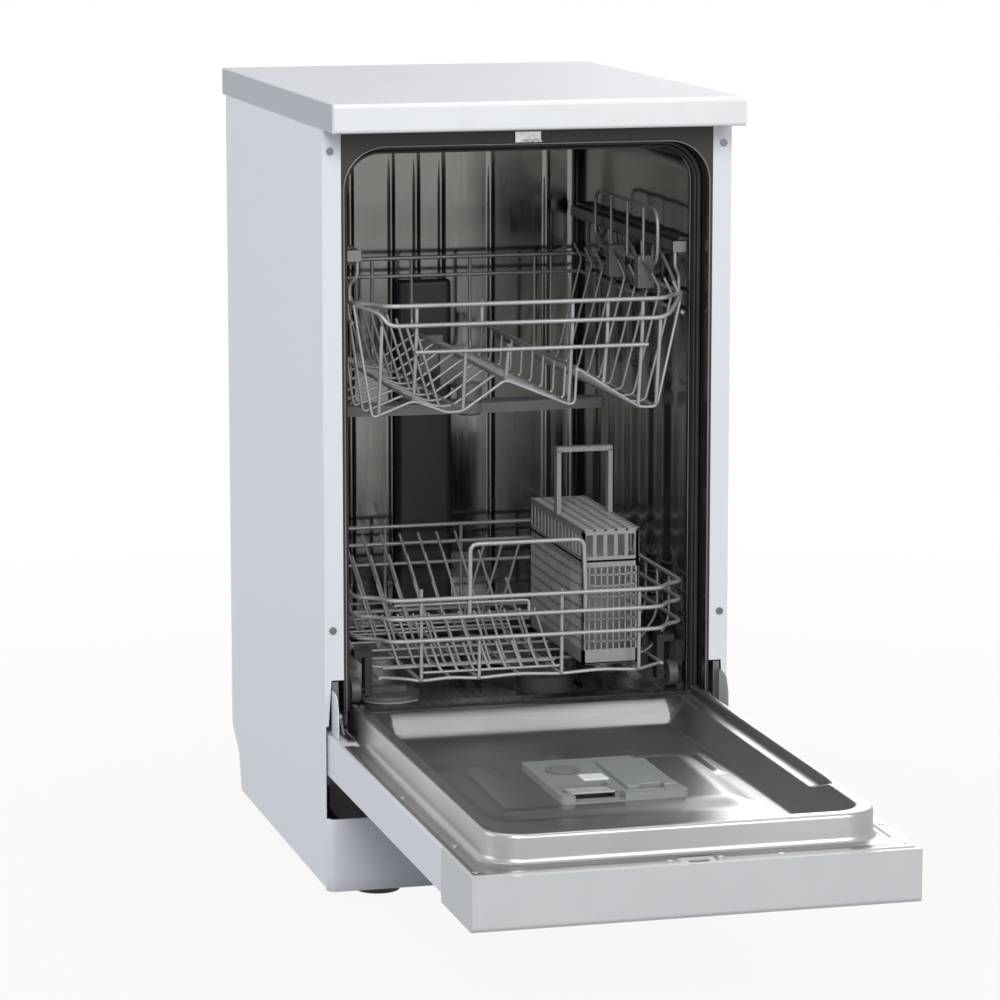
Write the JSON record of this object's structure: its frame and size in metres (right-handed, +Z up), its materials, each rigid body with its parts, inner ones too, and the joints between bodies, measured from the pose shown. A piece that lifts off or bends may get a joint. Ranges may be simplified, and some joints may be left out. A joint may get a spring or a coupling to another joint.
{
  "type": "dishwasher",
  "caption": "Slim free-standing dishwasher with a drop-down door, stainless tub, two sliding wire baskets, a cutlery holder, a detergent dispenser and turning spray arms.",
  "frame": {"origin": "on the floor, under the middle of the machine's outline with its door open", "axes": "+Z up, -Y towards the front, where the door opens, +X to the right seen from the front"},
  "size_m": [0.448, 1.16, 0.857],
  "materials": {
    "worktop": "white laminated board",
    "worktop_front_edge": "white moulded edge",
    "side_panel_left": "white enamel on thin steel",
    "side_panel_right": "white enamel on thin steel",
    "rear_panel": "galvanised sheet",
    "base_tray": "black moulded tray",
    "kickplate": "white enamel",
    "foot_front_left": "black moulded foot",
    "foot_front_right": "black moulded foot",
    "foot_rear_left": "black moulded foot",
    "foot_rear_right": "black moulded foot",
    "mouth_frame": "dark coated sheet",
    "latch_striker": "plated steel",
    "cabinet_screws": "plated screws",
    "tub_shell": "stainless sheet",
    "tub_floor": "stainless sheet",
    "door_gasket": "dark rubber",
    "lower_door_seal": "dark rubber",
    "feed_duct": "dark grey moulded duct",
    "sump": "dark grey moulding",
    "lower_spray_arm": "grey moulded arm",
    "upper_spray_arm": "grey moulded arm",
    "filter_cup": "grey moulded filter",
    "salt_cap": "grey screw cap",
    "water_softener": "pale moulded tank",
    "circulation_pump": "dark pump housing",
    "drain_pump": "dark pump housing",
    "inlet_valve": "pale valve body",
    "terminal_box": "black box",
    "air_break": "milky moulded tank",
    "upper_rails": "dark rail",
    "basket_slides": "steel runner",
    "door_outer_panel": "white enamel on thin steel",
    "control_panel": "white moulded fascia",
    "display_window": "dark smoked window",
    "button_programme": "silver grey key",
    "button_start": "silver grey key",
    "button_power": "silver grey key",
    "latch_body": "black latch housing",
    "latch_hook": "plated steel hook",
    "door_liner": "stainless sheet",
    "door_screws": "plated screws",
    "hinge_arm_left": "plated steel",
    "hinge_arm_right": "plated steel",
    "hinge_brackets": "plated steel",
    "dispenser_body": "grey moulding",
    "dispenser_lid": "grey moulding",
    "dispenser_latch": "grey moulding",
    "rinse_aid_cap": "grey moulding",
    "upper_basket": "grey coated wire",
    "upper_feed_pipe": "grey moulded pipe",
    "cup_shelf": "grey coated wire",
    "shelf_clips": "grey clip",
    "lower_basket": "grey coated wire",
    "wheel_brackets": "dark grey bracket",
    "wheel_front_left": "grey wheel",
    "wheel_front_right": "grey wheel",
    "wheel_rear_left": "grey wheel",
    "wheel_rear_right": "grey wheel",
    "cutlery_basket": "grey moulded basket"
  },
  "bodies": {
    "cabinet": {"worktop": "worktop", "worktop_front_edge": "worktop_front_edge", "side_panel_left": "side_panel_left", "side_panel_right": "side_panel_right", "rear_panel": "rear_panel", "base_tray": "base_tray", "kickplate": "kickplate", "mouth_frame": "mouth_frame", "latch_striker": "latch_striker", "cabinet_screws": "cabinet_screws", "tub_shell": "tub_shell", "tub_floor": "tub_floor", "door_gasket": "door_gasket", "lower_door_seal": "lower_door_seal", "feed_duct": "feed_duct", "sump": "sump", "water_softener": "water_softener", "circulation_pump": "circulation_pump", "drain_pump": "drain_pump", "inlet_valve": "inlet_valve", "terminal_box": "terminal_box", "air_break": "air_break", "upper_rails": "upper_rails", "hinge_brackets": "hinge_brackets"},
    "door": {"door_outer_panel": "door_outer_panel", "control_panel": "control_panel", "display_window": "display_window", "latch_body": "latch_body", "door_liner": "door_liner", "door_screws": "door_screws", "hinge_arm_left": "hinge_arm_left", "hinge_arm_right": "hinge_arm_right", "dispenser_body": "dispenser_body"},
    "latch_hook_body": {"latch_hook": "latch_hook"},
    "power_button": {"button_power": "button_power"},
    "programme_button": {"button_programme": "button_programme"},
    "start_button": {"button_start": "button_start"},
    "detergent_lid": {"dispenser_lid": "dispenser_lid"},
    "detergent_latch": {"dispenser_latch": "dispenser_latch"},
    "rinse_cap": {"rinse_aid_cap": "rinse_aid_cap"},
    "top_basket": {"upper_basket": "upper_basket", "basket_slides": "basket_slides", "upper_feed_pipe": "upper_feed_pipe", "shelf_clips": "shelf_clips"},
    "folding_shelf": {"cup_shelf": "cup_shelf"},
    "upper_arm": {"upper_spray_arm": "upper_spray_arm"},
    "bottom_basket": {"lower_basket": "lower_basket", "wheel_brackets": "wheel_brackets"},
    "cutlery_holder": {"cutlery_basket": "cutlery_basket"},
    "lower_arm": {"lower_spray_arm": "lower_spray_arm"},
    "filter": {"filter_cup": "filter_cup"},
    "salt_lid": {"salt_cap": "salt_cap"},
    "wheel_front_left_body": {"wheel_front_left": "wheel_front_left"},
    "wheel_rear_left_body": {"wheel_rear_left": "wheel_rear_left"},
    "wheel_front_right_body": {"wheel_front_right": "wheel_front_right"},
    "wheel_rear_right_body": {"wheel_rear_right": "wheel_rear_right"},
    "foot_front_left_body": {"foot_front_left": "foot_front_left"},
    "foot_front_right_body": {"foot_front_right": "foot_front_right"},
    "foot_rear_left_body": {"foot_rear_left": "foot_rear_left"},
    "foot_rear_right_body": {"foot_rear_right": "foot_rear_right"}
  },
  "joints": [
    {"name": "door_hinge", "type": "hinge", "parent": "cabinet", "child": "door", "pos_m": [0, 0.047, 0.198], "axis": [1, 0, 0], "range_deg": [-90, 0]},
    {"name": "latch_hook_swing", "type": "hinge", "parent": "door", "child": "latch_hook_body", "pos_m": [0.002, -0.558, 0.158], "axis": [1, 0, 0], "range_deg": [-20, 0], "stiffness_Nm_per_rad": 0.05},
    {"name": "dispenser_lid_hinge", "type": "hinge", "parent": "door", "child": "detergent_lid", "pos_m": [0.032, -0.1936, 0.19075], "axis": [1, 0, 0], "range_deg": [-95, 0]},
    {"name": "dispenser_latch_push", "type": "slide", "parent": "door", "child": "detergent_latch", "axis": [0, 1, 0], "range_m": [0, 0.002], "stiffness_N_per_m": 300},
    {"name": "rinse_aid_cap_turn", "type": "hinge", "parent": "door", "child": "rinse_cap", "pos_m": [-0.036, -0.227, 0.193], "axis": [0, 0, 1], "range_deg": [0, 90]},
    {"name": "upper_basket_slide", "type": "slide", "parent": "cabinet", "child": "top_basket", "axis": [0, -1, 0], "range_m": [0, 0.4]},
    {"name": "cup_shelf_hinge", "type": "hinge", "parent": "top_basket", "child": "folding_shelf", "pos_m": [0.168, 0.241, 0.664], "axis": [0, 1, 0], "range_deg": [-55, 0]},
    {"name": "upper_arm_spin", "type": "hinge", "parent": "top_basket", "child": "upper_arm", "pos_m": [0, 0.29, 0.493], "axis": [0, 0, 1], "continuous": true},
    {"name": "lower_basket_slide", "type": "slide", "parent": "cabinet", "child": "bottom_basket", "axis": [0, -1, 0], "range_m": [0, 0.4]},
    {"name": "cutlery_basket_lift", "type": "slide", "parent": "bottom_basket", "child": "cutlery_holder", "axis": [0, 0, 1], "range_m": [0, 0.02]},
    {"name": "lower_arm_spin", "type": "hinge", "parent": "cabinet", "child": "lower_arm", "pos_m": [0, 0.29, 0.219], "axis": [0, 0, 1], "continuous": true},
    {"name": "filter_cup_turn", "type": "hinge", "parent": "cabinet", "child": "filter", "pos_m": [0.06, 0.185, 0.186], "axis": [0, 0, 1], "range_deg": [0, 60]},
    {"name": "salt_cap_turn", "type": "hinge", "parent": "cabinet", "child": "salt_lid", "pos_m": [-0.137, 0.113, 0.204], "axis": [0, 0, 1], "range_deg": [0, 270]},
    {"name": "power_button_push", "type": "slide", "parent": "door", "child": "power_button", "axis": [0, 0, 1], "range_m": [0, 0.002], "stiffness_N_per_m": 300},
    {"name": "programme_button_push", "type": "slide", "parent": "door", "child": "programme_button", "axis": [0, 0, 1], "range_m": [0, 0.002], "stiffness_N_per_m": 300},
    {"name": "start_button_push", "type": "slide", "parent": "door", "child": "start_button", "axis": [0, 0, 1], "range_m": [0, 0.002], "stiffness_N_per_m": 300},
    {"name": "wheel_front_left_roll", "type": "hinge", "parent": "bottom_basket", "child": "wheel_front_left_body", "pos_m": [-0.179, 0.095, 0.2173], "axis": [1, 0, 0], "continuous": true},
    {"name": "wheel_rear_left_roll", "type": "hinge", "parent": "bottom_basket", "child": "wheel_rear_left_body", "pos_m": [-0.179, 0.415, 0.2173], "axis": [1, 0, 0], "continuous": true},
    {"name": "wheel_front_right_roll", "type": "hinge", "parent": "bottom_basket", "child": "wheel_front_right_body", "pos_m": [0.179, 0.095, 0.2173], "axis": [1, 0, 0], "continuous": true},
    {"name": "wheel_rear_right_roll", "type": "hinge", "parent": "bottom_basket", "child": "wheel_rear_right_body", "pos_m": [0.179, 0.415, 0.2173], "axis": [1, 0, 0], "continuous": true},
    {"name": "foot_front_left_screw", "type": "slide", "parent": "cabinet", "child": "foot_front_left_body", "axis": [0, 0, -1], "range_m": [0, 0.02]},
    {"name": "foot_front_right_screw", "type": "slide", "parent": "cabinet", "child": "foot_front_right_body", "axis": [0, 0, -1], "range_m": [0, 0.02]},
    {"name": "foot_rear_left_screw", "type": "slide", "parent": "cabinet", "child": "foot_rear_left_body", "axis": [0, 0, -1], "range_m": [0, 0.02]},
    {"name": "foot_rear_right_screw", "type": "slide", "parent": "cabinet", "child": "foot_rear_right_body", "axis": [0, 0, -1], "range_m": [0, 0.02]}
  ],
  "couplings": [
    {"joint": "wheel_front_left_roll", "follows": "lower_basket_slide", "rad_per_m": 71.429},
    {"joint": "wheel_rear_left_roll", "follows": "lower_basket_slide", "rad_per_m": 71.429},
    {"joint": "wheel_front_right_roll", "follows": "lower_basket_slide", "rad_per_m": 71.429},
    {"joint": "wheel_rear_right_roll", "follows": "lower_basket_slide", "rad_per_m": 71.429}
  ]
}
